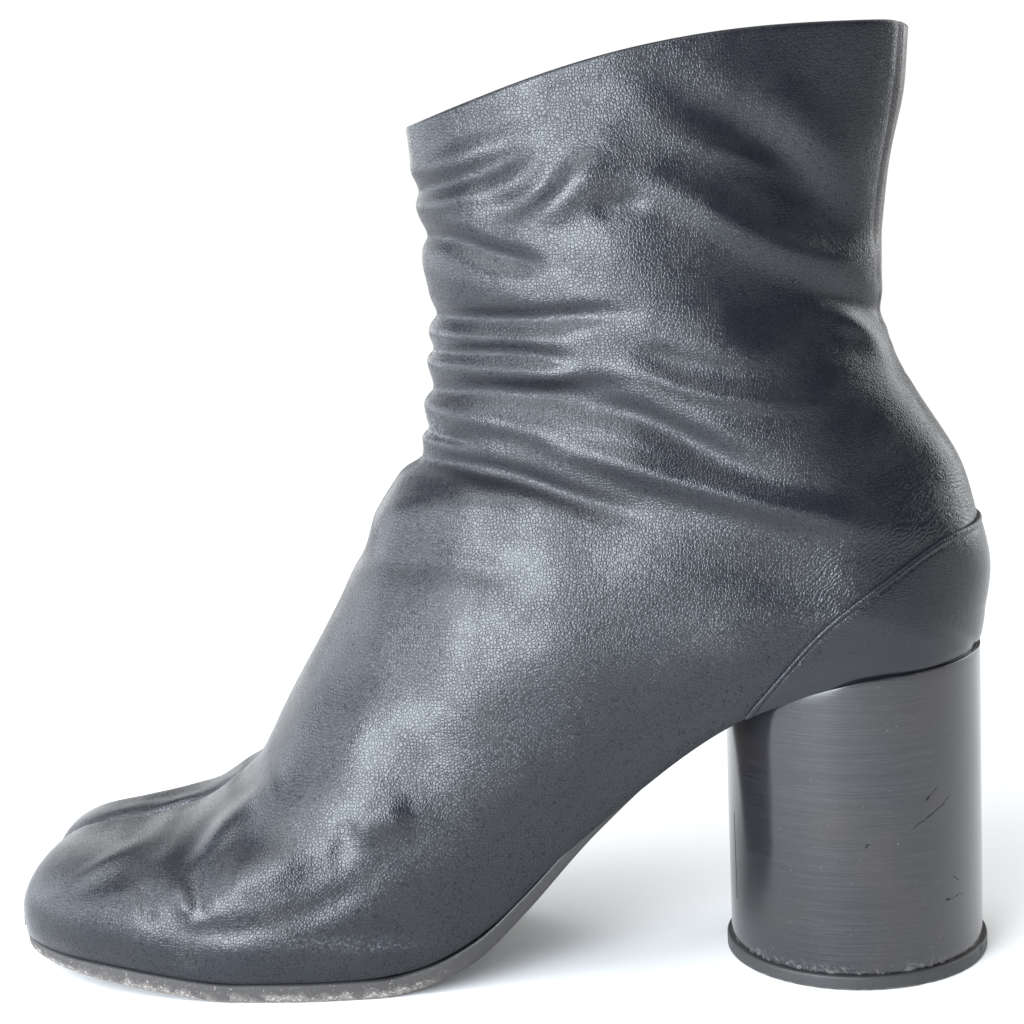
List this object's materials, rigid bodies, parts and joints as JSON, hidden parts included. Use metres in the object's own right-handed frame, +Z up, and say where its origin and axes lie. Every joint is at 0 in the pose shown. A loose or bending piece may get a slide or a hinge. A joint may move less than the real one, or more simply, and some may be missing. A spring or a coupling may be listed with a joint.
{
  "type": "split-toe heeled ankle boot",
  "caption": "Dark grain-leather ankle boot with a split toe, a centre-front seam, a raised heel counter and a tall round heel.",
  "frame": {"origin": "centre of the heel lift's face on the ground", "axes": "+Z up, -X towards the toes, -Y the outer side of this left boot"},
  "size_m": [0.2385, 0.0794, 0.2191],
  "materials": {
    "upper_leather": "pebbled grain calf, satin",
    "counter_leather": "pebbled grain calf, satin",
    "sole_leather": "worn bare edge, dark under the arch",
    "insole_leather": "matt, undyed",
    "heel_lacquer": "lacquered, fine level brush lines",
    "lift_rubber": "matt, worn"
  },
  "bodies": {
    "root": {"upper": "upper_leather", "heel_counter": "counter_leather", "outsole": "sole_leather", "insole": "insole_leather", "heel_block": "heel_lacquer", "heel_lift": "lift_rubber"}
  },
  "joints": []
}
